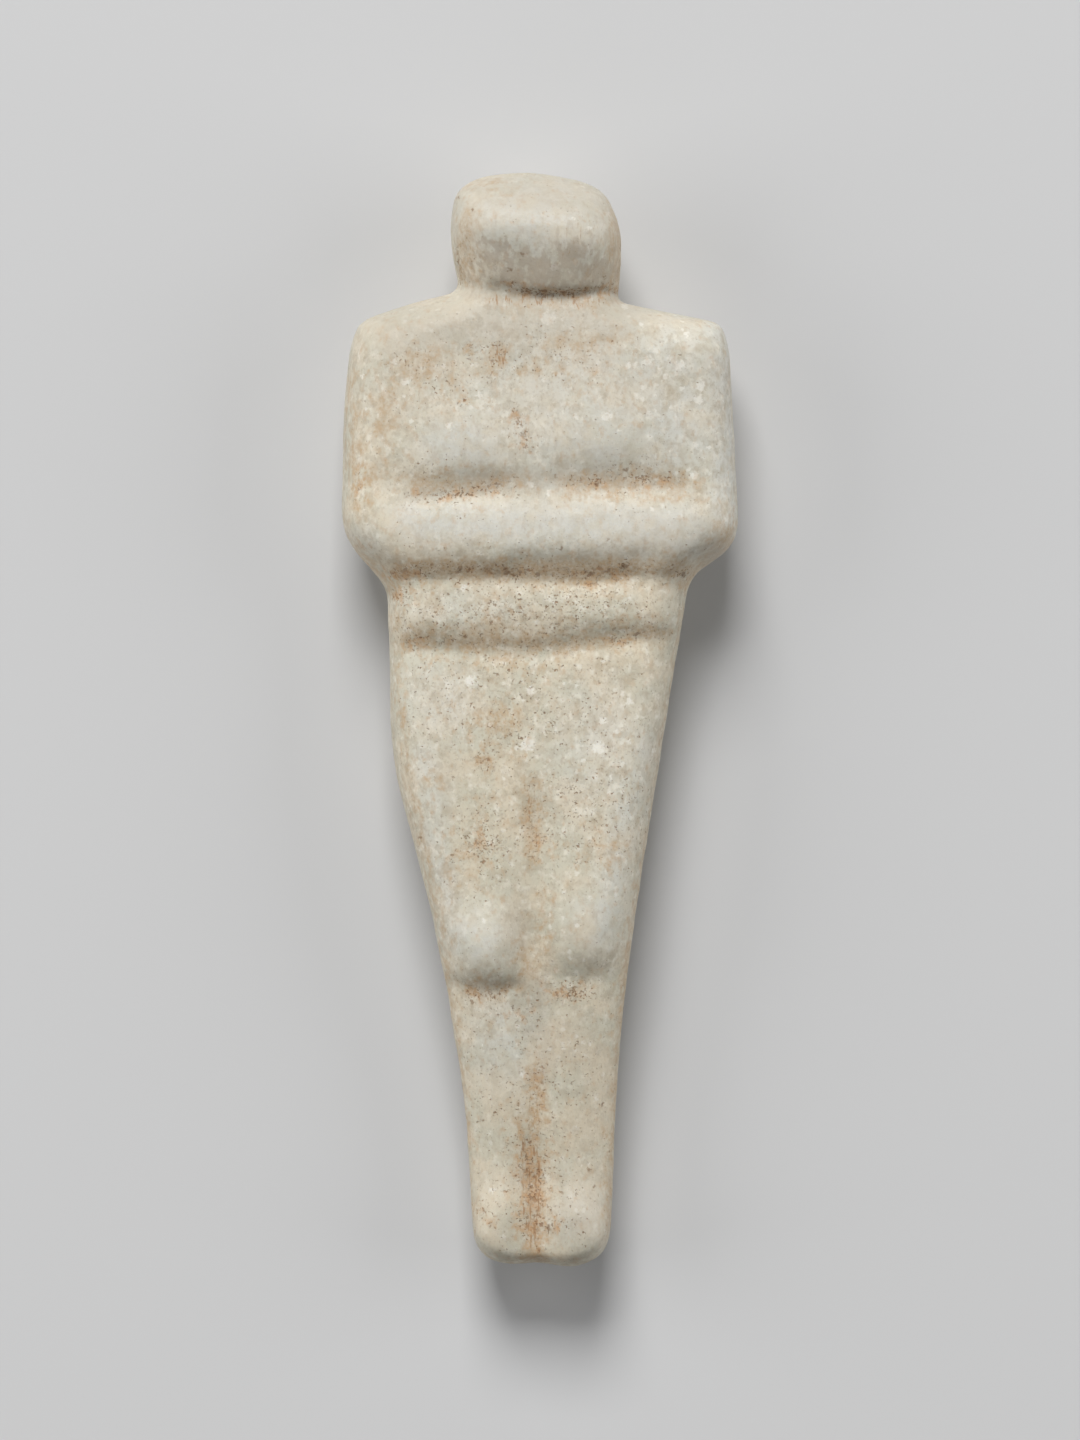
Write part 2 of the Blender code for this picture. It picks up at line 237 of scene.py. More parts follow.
def patch_share(spots, patch):
    """How strongly a patch's brush touches each spot."""
    gap = (spots - np.array([patch.across, patch.along]) * MM) / (np.array([patch.wide, patch.long]) * MM)
    return patch.strength * np.exp(-0.5 * (gap**2).sum(axis=1))


def spot_share(spots, spot):
    """One small round touch, which is halfway down at its radius."""
    gap = (spots - np.array([spot.across, spot.along]) * MM) / (spot.radius * MM)
    return 0.5 ** (gap**2).sum(axis=1)


SHARES = {Ribbon: ribbon_share, Patch: patch_share, Spot: spot_share}


def brushed(spots, brushes):
    """The strongest touch of several brushes at each spot."""
    total = np.zeros(len(spots))
    for brush in brushes:
        total = np.maximum(total, SHARES[type(brush)](spots, brush))
    return total


print(len(SHARES), "kinds of brush")

# %% [markdown]
# ## Soft forms
#
# Before any line was cut, the carver rubbed the forms down by eye: a little off under the breasts,
# the forearms and the belly, a little left standing along the waist and on the outer knee. A
# sculpting brush would do this by hand. A Displace modifier held to a vertex group is the same
# stroke with a stated depth. The elbows and the left end of the chin have no edge at all, so a
# Smooth modifier rounds those.

# %% Pressing strokes
FRONT_TURN = 0.15
LEAST_WEIGHT = 0.01


def front_share(piece):
    """1 where the skin faces up, falling to 0 on the sides and the back."""
    return smooth_step(vertex_numbers(piece, "normal", 3)[:, 2] / FRONT_TURN)


def weigh(piece, name, weights):
    """Writes one share for each vertex into a vertex group."""
    group = piece.vertex_groups.new(name=name)
    for index in np.nonzero(weights > LEAST_WEIGHT)[0]:
        group.add([int(index)], float(weights[index]), "REPLACE")


def press(piece, name, brushes, height):
    """Raises the skin under some brushes, or lowers it by a negative height."""
    spots = vertex_numbers(piece, "co", 3)[:, :2]
    weigh(piece, name, brushed(spots, brushes) * front_share(piece))
    modify(piece, "DISPLACE", name, strength=height, mid_level=0.0, vertex_group=name)
    piece.vertex_groups.clear()


front = front_share(figure)
print(round(100 * float(np.mean(front > 0.5))), "% of the vertices are on the front")

# %% Rub the soft forms
RUB_DEPTH = 0.5 * MM

LEFT_STANDING = (
    Patch(-8.2, 78.8, 3.6, 1.0, 0.6),
    Ribbon(((20.0, 26.2), (27.0, 26.6)), 1.4, 0.8),
    Ribbon(((-26.0, 25.8), (-12.0, 25.8)), 1.4, 0.7),
    Patch(12.0, 18.2, 8.0, 1.7, 0.5),
    Patch(-18.0, 17.8, 7.0, 1.8, 0.6),
    Patch(-16.0, -37.5, 1.6, 3.0, 0.5),
)
RUBBED_AWAY = (
    Patch(14.0, 44.2, 8.0, 1.5, 0.35),
    Patch(-13.0, 43.8, 7.0, 1.5, 0.35),
    Ribbon(((-4.0, 28.7), (8.0, 28.9), (20.0, 29.6)), 1.5, 0.9),
    Ribbon(((-4.0, 24.4), (14.0, 24.4)), 1.0, 0.35),
    Ribbon(((-24.0, 12.6), (-8.0, 11.4), (2.0, 11.6), (18.0, 14.2)), 0.9, 0.3),
    Patch(-2.6, -42.0, 1.3, 3.6, 0.5),
    Patch(-10.5, -48.4, 4.5, 1.1, 0.4),
)
SOFTENED = (
    Patch(-7.4, 80.0, 3.6, 1.8, 0.9),
    Patch(29.0, 33.4, 5.0, 2.8, 1.0),
    Patch(31.5, 29.5, 3.6, 3.6, 1.0),
    Patch(-31.5, 29.5, 3.6, 3.6, 0.8),
    Patch(26.5, 25.0, 2.0, 2.0, 0.6),
)
SOFTENING_STROKES = 60

press(figure, "left standing", LEFT_STANDING, RUB_DEPTH)
press(figure, "rubbed away", RUBBED_AWAY, -RUB_DEPTH)

spots = vertex_numbers(figure, "co", 3)[:, :2]
weigh(figure, "soft", brushed(spots, SOFTENED))
modify(figure, "SMOOTH", "soften", factor=0.5, iterations=SOFTENING_STROKES, vertex_group="soft")
figure.vertex_groups.clear()
print("rubbed", len(LEFT_STANDING + RUBBED_AWAY + SOFTENED), "soft forms")

# %% [markdown]
# ## Creases
#
# On the real figure the chin, the underside of the breasts, the arms and the belly are cut in with
# a sharp stone, and the cuts are the darkest and crispest lines of the whole work. Faces twice as
# fine are needed along them, so the faces that the brushes touch are subdivided before the cuts
# are made. A Displace modifier held to a vertex group then presses them in, like weight painting
# followed by one firm stroke.

# %% Name the creases
CHIN_POINTS = ((-2.6, 77.5), (-1.0, 77.2), (2.5, 77.1), (6.5, 77.2), (11.0, 77.9), (14.6, 78.0))
ARM_LEFT_HALF = ((-25.5, 25.6), (-16.0, 25.9), (-7.0, 26.0), (0.0, 25.2))
ARM_RIGHT_HALF = ((0.0, 25.2), (8.0, 25.3), (16.0, 26.4), (26.0, 26.2))
BELLY_LEFT_HALF = ((-25.0, 13.9), (-16.0, 13.4), (-6.0, 12.7), (1.0, 12.6))
BELLY_RIGHT_HALF = ((1.0, 12.6), (9.0, 14.0), (15.5, 15.6), (22.0, 15.4))

CHIN = Ribbon(CHIN_POINTS, 0.5, 0.65)
CHIN_END = Ribbon(((-8.0, 79.0), (-5.0, 78.1), (-2.0, 77.3)), 0.7, 0.15)
LEFT_BREAST = Ribbon(((-24.5, 39.8), (-18.0, 40.3), (-12.0, 40.8), (-7.0, 41.9)), 0.8, 0.3)
RIGHT_BREAST = Ribbon(((5.0, 42.6), (10.0, 41.9), (17.0, 41.8), (25.0, 42.2)), 0.9, 0.25)
ARMS = Ribbon(ARM_LEFT_HALF + ARM_RIGHT_HALF[1:], 0.9, 0.25)
BELLY = Ribbon(BELLY_LEFT_HALF + BELLY_RIGHT_HALF[1:], 1.1, 0.1)
LEFT_KNEE = Ribbon(((-15.5, -47.6), (-12.0, -49.2), (-8.0, -49.5), (-3.8, -48.0)), 1.0, 0.35)
RIGHT_KNEE = Ribbon(((3.0, -46.5), (7.5, -47.6), (12.0, -47.0)), 1.1, 0.2)
LEGS = Ribbon(((-1.5, -52.0), (-1.2, -66.0), (-1.5, -80.0), (-0.8, -93.0), (0.3, -99.0)), 0.8, 0.3)

CREASES = (CHIN, CHIN_END, LEFT_BREAST, RIGHT_BREAST, ARMS, BELLY, LEFT_KNEE, RIGHT_KNEE, LEGS)
print(len(CREASES), "creases")

# %% Cut the creases
CREASE_DEPTH = 0.55 * MM
FINE_ZONE = 0.10
EASING_PASSES = 3

spots = vertex_numbers(figure, "co", 3)[:, :2]
touched = brushed(spots, CREASES) * front_share(figure) > FINE_ZONE

take(figure)
bpy.ops.object.mode_set(mode="EDIT")
bpy.ops.mesh.select_all(action="DESELECT")
bpy.ops.object.mode_set(mode="OBJECT")
for face in figure.data.polygons:
    face.select = any(touched[index] for index in face.vertices)
bpy.ops.object.mode_set(mode="EDIT")
bpy.ops.mesh.select_mode(type="FACE")
bpy.ops.mesh.subdivide(number_cuts=1, ngon=False)
bpy.ops.object.mode_set(mode="OBJECT")

spots = vertex_numbers(figure, "co", 3)[:, :2]
weigh(figure, "creases", brushed(spots, CREASES) * front_share(figure))
modify(figure, "SMOOTH", "ease", factor=0.5, iterations=EASING_PASSES, vertex_group="creases")
figure.vertex_groups.clear()
press(figure, "cut", CREASES, -CREASE_DEPTH)
print("carved", len(figure.data.polygons), "faces")

# %% [markdown]
# ## Rubbed and weathered surface
#
# A figure like this was ground with emery, so its planes swell and dip by a fraction of a
# millimetre. Long burial then ate at the grain, most of all in the creases and over the lower
# body. Displace modifiers that read soft procedural clouds give both: broad clouds for the
# grinding, fine ones for the grain, and pits held to the places that weathered. The skin is then
# moved up by the little that its roughest grains reach below the floor, so that it rests on them.

# %% Weather the skin
Relief = namedtuple("Relief", "name grain depth middle group")

WORN_PLACES = CREASES + (
    Patch(-20, 45, 8, 5, 0.5),
    Patch(14, 40, 10, 5, 0.6),
    Patch(0, 20, 22, 5, 0.8),
    Patch(0, -10, 20, 14, 0.55),
    Patch(0, -60, 14, 22, 0.45),
)
RELIEFS = (
    Relief("hand grinding", 9.0 * MM, 0.30 * MM, 0.5, ""),
    Relief("rubbed planes", 3.4 * MM, 0.12 * MM, 0.5, ""),
    Relief("crystal grain", 1.3 * MM, 0.07 * MM, 0.5, ""),
    Relief("weathered pits", 0.9 * MM, 0.22 * MM, 0.7, "worn"),
)

spots = vertex_numbers(figure, "co", 3)[:, :2]
weigh(figure, "worn", brushed(spots, WORN_PLACES) * front_share(figure))
for relief in RELIEFS:
    texture = bpy.data.textures.new(relief.name, "CLOUDS")
    texture.noise_scale = relief.grain
    settings = dict(strength=relief.depth, mid_level=relief.middle, texture=texture)
    modify(figure, "DISPLACE", relief.name, texture_coords="LOCAL", vertex_group=relief.group, **settings)
figure.vertex_groups.clear()

lowest = float(vertex_numbers(figure, "co", 3)[:, 2].min())
take(figure)
bpy.ops.object.mode_set(mode="EDIT")
bpy.ops.mesh.select_all(action="SELECT")
bpy.ops.transform.translate(value=(0.0, 0.0, -lowest))
bpy.ops.mesh.normals_make_consistent(inside=False)
bpy.ops.object.mode_set(mode="OBJECT")
print("set down by", round(-lowest / MM, 3), "mm")
figure.data.shade_smooth()
triangles = sum(len(face.vertices) - 2 for face in figure.data.polygons)
print("weathered skin", triangles, "triangles")

# %% [markdown]
# ## Stains and marks
#
# The stone is white under a skin of earth stains. They follow the forms: tan where soil lay against
# the chest, orange iron stains under the breasts and arms and down between the legs, brown specks
# in every crease. Warm tan and an even grey are also painted as shade in the creases and under the
# breasts and the elbows. They could be drawn on an unwrapped picture. Here they are painted as
# attributes with the same brushes, so they stay where the carving is. The back keeps only the even grain.

# %% Tan, cool and grey areas, with painted shade
LEFT_HIP = ((-25.8, 20.0), (-25.6, 4.0), (-23.0, -14.0))
LEFT_LEG = ((-17.5, -40.0), (-14.0, -68.0), (-12.4, -94.0))
RIGHT_HIP = ((26.6, 20.0), (24.6, 4.0), (21.0, -18.0))
RIGHT_LEG = ((16.4, -44.0), (13.6, -70.0), (12.6, -92.0))

# Tan stain. Along the creases under the breasts, the arms and the belly, and under the elbows, the tan is
# warm painted shade as well.
TAN = (
    Patch(-8.0, 97.0, 4.0, 1.2, 0.7),
    Ribbon(((14.2, 92.0), (14.6, 80.0)), 1.5, 1.0),
    Ribbon(((-13.6, 91.0), (-13.2, 81.0)), 1.9, 0.8),
    Ribbon(((-9.0, 76.2), (-2.0, 75.6), (6.0, 75.6), (13.0, 76.4)), 1.4, 0.65),
    Patch(13.0, 69.8, 2.8, 1.5, 0.65),
    Patch(6.0, 68.6, 4.6, 1.9, 0.85),
    Patch(-12.5, 67.3, 1.2, 1.2, 0.8),
    Patch(-7.6, 65.7, 1.5, 2.2, 1.0),
    Patch(11.0, 64.0, 5.0, 4.0, 0.4),
    Patch(-22.5, 64.0, 4.8, 3.8, 0.8),
    Patch(1.0, 63.5, 9.0, 1.6, 0.45),
    Ribbon(((-33.8, 62.0), (-34.4, 50.0), (-33.0, 38.0)), 1.5, 0.6),
    Patch(-17.0, 60.5, 4.0, 2.4, 0.55),
    Patch(-28.8, 54.5, 2.0, 5.0, 0.8),
    Patch(-31.2, 43.6, 1.6, 3.4, 0.8),
    # Under the breasts: tan stain and warm painted shade.
    Ribbon(((-12.0, 43.2), (-3.0, 43.6)), 1.5, 0.6),
    Ribbon(((-22.0, 42.8), (-8.0, 43.6)), 1.8, 0.95),
    Ribbon(((6.0, 42.8), (25.0, 43.0)), 2.0, 1.0),
    # Under the elbows: tan stain and warm painted shade.
    Patch(33.8, 32.6, 2.2, 3.2, 0.95),
    Ribbon(((-34.0, 31.0), (-30.0, 27.4), (-26.4, 24.0)), 1.4, 0.8),
    Ribbon(((35.2, 31.0), (31.0, 28.0), (27.4, 25.4)), 1.6, 1.0),
    # Along the crease under the arms: tan stain and warm painted shade.
    Ribbon(((-26.0, 27.2), (-6.0, 27.4), (8.0, 27.4), (26.0, 27.8)), 1.7, 1.0),
    Ribbon(((-2.0, 26.4), (6.0, 25.8), (14.0, 26.4)), 1.6, 0.9),
    Ribbon(LEFT_HIP + LEFT_LEG, 1.0, 0.55),
    Ribbon(RIGHT_HIP + RIGHT_LEG, 1.1, 0.8),
    Patch(-8.0, 17.0, 5.0, 2.6, 0.5),
    Patch(13.0, 16.0, 6.0, 2.4, 0.5),
    # Along the belly crease: tan stain and warm painted shade.
    Ribbon(((-24.0, 15.0), (-6.0, 14.0), (8.0, 14.4), (22.0, 16.0)), 2.0, 0.7),
    Patch(-6.0, 10.0, 6.0, 2.2, 0.55),
    Patch(-7.2, 0.2, 3.0, 2.4, 0.95),
    Patch(-9.0, -1.0, 5.0, 3.0, 0.5),
    Patch(-8.8, -8.0, 3.0, 1.8, 0.6),
    Patch(-19.5, -11.2, 2.4, 2.4, 0.55),
    Ribbon(((-1.5, -11.5), (-1.0, -24.0)), 1.8, 0.8),
    Patch(12.0, -24.0, 4.0, 3.0, 0.45),
    Patch(-13.0, -24.5, 4.0, 3.0, 0.65),
    Patch(0.4, -37.0, 1.6, 5.0, 0.6),
    Patch(-2.6, -43.0, 1.6, 4.0, 0.85),
    Ribbon(((-14.0, -48.0), (-4.0, -48.4)), 1.4, 0.6),
    Ribbon(((-0.4, -63.0), (-0.6, -70.0), (-1.8, -78.0)), 1.7, 0.7),
    Ribbon(((-1.8, -78.0), (-1.0, -97.0)), 2.4, 1.0),
    Ribbon(((-10.5, -98.4), (10.5, -98.4)), 0.9, 0.3),
)
COOL = (
    Patch(0.0, 96.0, 11.0, 3.6, 0.8),
    Patch(-9.4, 92.4, 1.3, 2.4, 1.0),
    Patch(0.0, 91.0, 13.0, 7.0, 0.95),
    Ribbon(((33.0, 71.0), (34.4, 52.0), (34.0, 38.0)), 3.4, 1.0),
    Patch(24.0, 65.0, 10.0, 8.0, 0.85),
    Patch(8.0, 56.0, 26.0, 20.0, 0.7),
    Patch(5.0, 54.0, 7.0, 4.0, 0.7),
    Patch(25.0, 54.0, 8.0, 10.0, 0.95),
    Patch(-14.0, 50.0, 7.0, 4.5, 1.0),
    Patch(11.0, 48.5, 8.0, 4.0, 0.8),
    Ribbon(((-22.0, 36.0), (26.0, 35.0)), 3.8, 1.0),
    Patch(24.0, 34.0, 9.0, 4.0, 1.0),
    Patch(-31.0, 33.0, 3.0, 2.4, 0.6),
    Patch(19.0, 31.5, 8.0, 3.6, 0.6),
    Patch(-14.0, 20.5, 9.0, 2.4, 0.5),
    Patch(-18.5, 4.0, 5.0, 5.0, 0.7),
    Ribbon(((18.0, -4.0), (14.0, -24.0), (11.5, -40.0)), 2.6, 0.7),
    Patch(12.0, -6.0, 7.0, 9.0, 0.6),
    Ribbon(((-21.0, -6.0), (-18.5, -24.0), (-15.5, -36.0)), 1.8, 0.7),
    Patch(12.0, -35.0, 3.0, 4.0, 0.8),
    Patch(9.0, -36.0, 4.0, 4.0, 0.5),
    Patch(-11.6, -39.2, 4.6, 3.8, 1.0),
    Patch(-7.0, -58.0, 4.0, 6.0, 0.7),
    Patch(8.0, -90.0, 4.0, 4.0, 0.5),
)
VEIL = (
    Patch(-8.0, 85.0, 3.5, 2.0, 0.8),
    Spot(6.0, 84.4, 2.6),
    Patch(-12.0, 82.0, 2.4, 2.0, 0.6),
    Ribbon(((-5.0, 81.4), (12.5, 81.2)), 2.6, 0.95),
)
# An even grey darkening, which is painted shade under the breasts, under the right elbow and in the groove
# between the knees and the shins.
GREYING_AND_SHADE = (
    Patch(0.0, 95.0, 16.0, 4.6, 1.0),
    Spot(6.4, 84.9, 2.1),
    Ribbon(((-13.0, 77.0), (0.0, 75.4), (13.0, 76.4)), 1.8, 1.0),
    Ribbon(((-26.0, 71.0), (0.0, 73.0), (14.0, 73.5)), 4.6, 1.0),
    Patch(11.0, 64.0, 6.0, 5.0, 0.5),
    Patch(12.0, 62.0, 15.0, 6.0, 0.45),
    Patch(-18.0, 61.0, 13.0, 6.0, 0.4),
    # Painted shade under the breasts.
    Ribbon(((-12.0, 43.6), (4.0, 44.0)), 1.8, 0.8),
    Ribbon(((6.0, 43.0), (24.0, 43.4)), 1.6, 0.65),
    Ribbon(((-22.0, 41.2), (-6.0, 42.2)), 1.4, 0.9),
    Patch(-24.0, 38.5, 4.0, 2.0, 0.4),
    Ribbon(((-24.0, 36.5), (26.0, 36.0)), 3.0, 0.35),
    Patch(24.0, 33.0, 7.0, 3.4, 0.7),
    # Painted shade under the right elbow.
    Patch(32.6, 30.2, 3.2, 2.4, 1.0),
    Patch(-17.0, -12.0, 1.6, 6.0, 0.4),
    # Painted shade in the groove between the knees and the shins.
    Patch(-4.8, -39.0, 1.6, 5.0, 0.7),
    Ribbon(((0.6, -49.5), (0.0, -56.0), (1.4, -59.0), (0.0, -64.0)), 1.5, 0.7),
    Patch(5.0, -57.0, 4.0, 5.0, 0.4),
    Patch(-4.6, -84.5, 2.4, 3.0, 0.6),
    Patch(7.0, -85.0, 5.0, 5.0, 0.5),
    Patch(-1.2, -88.0, 1.8, 7.0, 0.6),
    Patch(-8.0, -88.0, 4.0, 7.0, 0.45),
    Patch(7.5, -90.0, 4.6, 5.0, 0.8),
)
print(len(TAN), "tan touches,", len(COOL), "cool,", len(VEIL + GREYING_AND_SHADE), "grey")

# %% Rust, grime, polish and bright crystals
RUST = (
    Patch(-4.6, 79.0, 1.6, 1.0, 0.6),
    Ribbon(((-3.0, 77.9), (6.0, 77.5), (13.0, 78.2)), 0.9, 0.6),
    Patch(-11.5, 67.6, 1.2, 1.2, 0.3),
    Patch(-7.4, 65.2, 1.5, 1.8, 0.3),
    Patch(-13.8, 58.3, 0.7, 1.2, 0.7),
    Ribbon(((-4.3, 55.4), (-2.3, 49.8)), 1.0, 0.65),
    Patch(-32.6, 43.6, 0.8, 2.6, 0.7),
    Patch(21.0, 43.0, 3.6, 1.3, 0.6),
    Patch(10.0, 42.6, 3.0, 0.9, 0.55),
    Patch(-8.5, 42.0, 2.6, 1.3, 0.6),
    Patch(15.5, 41.6, 2.6, 0.8, 0.8),
    Patch(-22.5, 41.0, 2.0, 1.1, 0.5),
    Patch(-15.5, 40.8, 4.6, 1.1, 0.55),
    Patch(-14.5, 27.0, 2.0, 0.9, 0.5),
    Patch(-5.2, 26.9, 4.0, 1.0, 0.65),
    Patch(11.8, 26.8, 4.4, 1.2, 0.7),
    Patch(-24.6, 26.6, 2.8, 1.0, 0.95),
    Patch(9.7, 24.8, 1.6, 0.6, 0.8),
    Patch(-25.2, 22.7, 1.6, 1.4, 0.75),
    Patch(14.5, 14.2, 2.0, 0.7, 0.9),
    Patch(-22.7, 13.8, 1.4, 0.9, 0.8),
    Patch(-21.0, 9.8, 1.0, 0.6, 0.7),
    Patch(-9.8, -8.0, 1.6, 2.0, 0.3),
    Patch(-1.6, -18.5, 1.2, 3.0, 0.3),
    Patch(-11.0, -22.0, 1.0, 2.2, 0.8),
    Patch(0.7, -22.1, 1.2, 1.2, 0.9),
    Patch(5.4, -49.2, 3.4, 1.5, 0.75),
    Patch(-10.2, -49.8, 3.0, 1.2, 0.6),
    Patch(-3.5, -53.5, 2.6, 1.2, 0.4),
    Ribbon(((-0.3, -64.0), (-0.4, -70.0), (-2.0, -77.0)), 1.4, 0.35),
    Patch(-5.8, -75.9, 0.7, 0.5, 0.9),
    Patch(-1.3, -84.0, 2.2, 6.0, 1.0),
    Ribbon(((-10.6, -89.0), (-8.2, -92.6)), 0.7, 0.7),
    Patch(-0.9, -91.5, 1.7, 3.4, 0.9),
    Patch(3.1, -91.6, 0.9, 1.2, 0.7),
)
GRIME = (
    Ribbon(((14.9, 90.5), (15.0, 84.0), (14.4, 78.0)), 0.5, 0.9),
    Ribbon(((-15.0, 86.0), (-14.2, 79.6)), 0.5, 0.9),
    Patch(-5.4, 79.2, 1.4, 1.0, 0.4),
    Ribbon(((-3.0, 77.9), (1.8, 77.5), (6.0, 77.7), (11.1, 78.6), (14.4, 78.2)), 0.6, 0.75),
    Patch(-11.8, 67.2, 1.6, 1.6, 0.8),
    Patch(-7.6, 66.0, 2.2, 2.6, 0.7),
    Patch(3.0, 66.0, 9.0, 4.0, 0.40),
    Patch(-21.0, 63.0, 4.0, 3.4, 0.55),
    Patch(-16.0, 62.0, 8.0, 4.0, 0.42),
    Ribbon(((-4.4, 56.0), (-2.2, 49.4)), 0.8, 0.6),
    Patch(16.5, 46.0, 4.0, 1.8, 0.55),
    Patch(-20.0, 45.0, 4.0, 2.0, 0.5),
    Ribbon(((6.0, 42.8), (15.5, 44.2), (26.0, 43.6)), 1.0, 0.6),
    Ribbon(((-24.2, 40.2), (-15.0, 41.4), (-5.0, 42.8)), 1.1, 0.55),
    Ribbon(((-26.0, 26.8), (-15.0, 27.5), (-4.0, 27.0), (9.0, 26.8), (15.5, 28.0), (26.5, 26.8)), 1.2, 0.65),
    Patch(0.0, 19.5, 24.0, 5.0, 0.72),
    Ribbon(((-24.0, 15.4), (-12.0, 15.0), (0.0, 13.6), (10.0, 14.6), (20.0, 16.0)), 1.6, 0.55),
    Patch(-4.0, 4.0, 18.0, 9.0, 0.50),
    Patch(-7.0, -1.0, 4.0, 4.0, 0.70),
    Patch(-10.0, -7.0, 2.0, 2.8, 0.75),
    Ribbon(((-1.4, -12.0), (-1.8, -25.0)), 1.4, 0.6),
    Patch(10.0, -16.0, 10.0, 9.0, 0.55),
    Patch(-10.0, -22.0, 5.0, 6.0, 0.70),
    Ribbon(((1.6, -48.0), (8.0, -49.6)), 1.6, 0.6),
    Ribbon(((-13.5, -48.4), (-8.0, -49.6), (-3.5, -47.8)), 1.1, 0.5),
    Patch(0.0, -66.0, 14.0, 16.0, 0.42),
    Ribbon(((-1.4, -79.0), (-1.0, -92.0), (0.3, -99.0)), 1.2, 0.35),
    Patch(0.0, -88.0, 12.0, 7.0, 0.42),
)
STREAKS = (
    Patch(8.0, 87.0, 6.0, 4.0, 0.35),
    Ribbon(((-9.0, 76.4), (10.0, 75.8)), 1.2, 0.55),
    Patch(-7.6, 65.8, 1.3, 1.8, 0.75),
    Patch(-3.3, 52.5, 1.2, 3.0, 0.5),
    Patch(-1.8, -15.0, 1.4, 3.0, 0.55),
    Patch(5.4, -49.6, 3.0, 1.4, 0.5),
    Patch(-10.0, -50.0, 3.2, 1.4, 0.55),
    Ribbon(((-0.2, -64.0), (-1.2, -76.0)), 1.4, 0.35),
    Ribbon(((-3.0, -76.0), (-3.2, -82.0), (-2.8, -90.0)), 0.35, 0.75),
    Ribbon(((-0.8, -78.0), (-0.4, -86.0), (-0.6, -97.0)), 0.6, 0.75),
    Ribbon(((-1.8, -82.0), (-1.6, -95.0)), 1.2, 0.6),
)
POLISHED = (
    Patch(0.0, 92.0, 16.0, 7.0, 1.0),
    Patch(0.0, 82.0, 13.0, 4.0, 0.6),
    Ribbon(((14.0, 75.4), (31.0, 72.4)), 2.6, 0.9),
    Patch(26.0, 73.0, 6.0, 3.0, 0.6),
    Ribbon(((-31.0, 72.0), (-14.0, 75.4)), 2.6, 0.9),
    Patch(-26.0, 71.0, 7.0, 4.0, 0.8),
    Patch(-14.0, 50.0, 7.0, 4.0, 1.0),
    Patch(12.0, 50.0, 8.0, 4.0, 1.0),
    Ribbon(((-26.0, 36.4), (24.0, 36.4)), 3.2, 0.9),
    Patch(9.0, -36.5, 5.0, 4.5, 1.0),
    Patch(-10.5, -39.5, 4.2, 4.2, 1.0),
    Patch(0.0, -68.0, 18.0, 13.0, 0.75),
    Patch(-8.0, -88.0, 5.0, 8.0, 0.9),
    Patch(7.0, -90.0, 5.0, 7.0, 0.9),
)
CRYSTALS = (
    Patch(8.0, 88.0, 8.0, 6.0, 0.4),
    Patch(4.0, 72.0, 12.0, 4.0, 0.7),
    Patch(-14.0, 62.0, 14.0, 8.0, 0.55),
    Patch(24.0, 60.0, 7.0, 7.0, 1.0),
    Patch(-11.0, 54.0, 8.0, 3.0, 0.6),
    Patch(27.0, 47.0, 6.0, 8.0, 0.9),
    Patch(14.0, 0.0, 10.0, 12.0, 0.7),
    Patch(-6.0, -2.0, 10.0, 10.0, 0.5),
    Patch(6.0, -38.0, 9.0, 6.0, 0.6),
    Patch(0.0, -72.0, 12.0, 18.0, 0.45),
)
print(len(RUST + STREAKS), "rusty touches,", len(GRIME), "dirty,", len(POLISHED), "polished")

# %% Single flecks and pits
FLECKS = (
    Spot(12.3, 92.0, 0.5),
    Spot(5.9, 90.9, 0.5),
    Spot(8.8, 89.2, 0.6),
    Spot(2.3, 82.0, 0.6),
    Spot(9.0, 77.0, 0.6),
    Spot(15.5, 75.5, 0.7),
    Spot(1.4, 73.0, 1.3),
    Spot(18.3, 71.9, 0.5),
    Spot(26.5, 70.1, 0.6),
    Spot(19.6, 65.2, 1.0),
    Spot(-26.4, 65.2, 0.7),
    Spot(-12.3, 64.7, 0.5),
    Spot(25.2, 64.4, 1.1),
    Spot(16.1, 64.3, 0.7),
    Spot(21.6, 63.9, 0.5),
    Spot(22.9, 62.4, 0.6),
    Spot(-32.3, 62.4, 0.5),
    Spot(-24.3, 61.4, 0.7),
    Spot(29.0, 60.8, 0.9),
    Spot(-11.0, 59.0, 0.7),
    Spot(28.7, 58.3, 0.9),
    Spot(23.9, 56.7, 0.6),
    Spot(12.1, 55.0, 1.0),
    Spot(6.6, 55.0, 0.6),
    Spot(-16.4, 53.4, 0.6),
    Spot(14.2, 52.6, 0.5),
    Spot(30.6, 49.6, 0.5),
    Spot(27.8, 44.4, 0.8),
    Spot(-1.7, 42.6, 0.8),
    Spot(1.6, 41.3, 0.6),
    Spot(20.3, 38.2, 0.5),
    Spot(33.7, 36.5, 0.6),
    Spot(-13.8, 24.1, 0.8),
    Spot(-12.6, 7.3, 1.1),
    Spot(-1.8, 5.4, 0.9),
    Spot(16.2, 3.3, 0.8),
    Spot(11.4, 0.0, 0.8),
    Spot(-2.3, -4.2, 1.4),
    Spot(10.8, -4.9, 1.2),
    Spot(20.6, -5.5, 0.5),
    Spot(12.8, -10.3, 0.5),
    Spot(-3.0, -64.5, 0.7),
    Spot(-8.8, -85.5, 0.7),
)
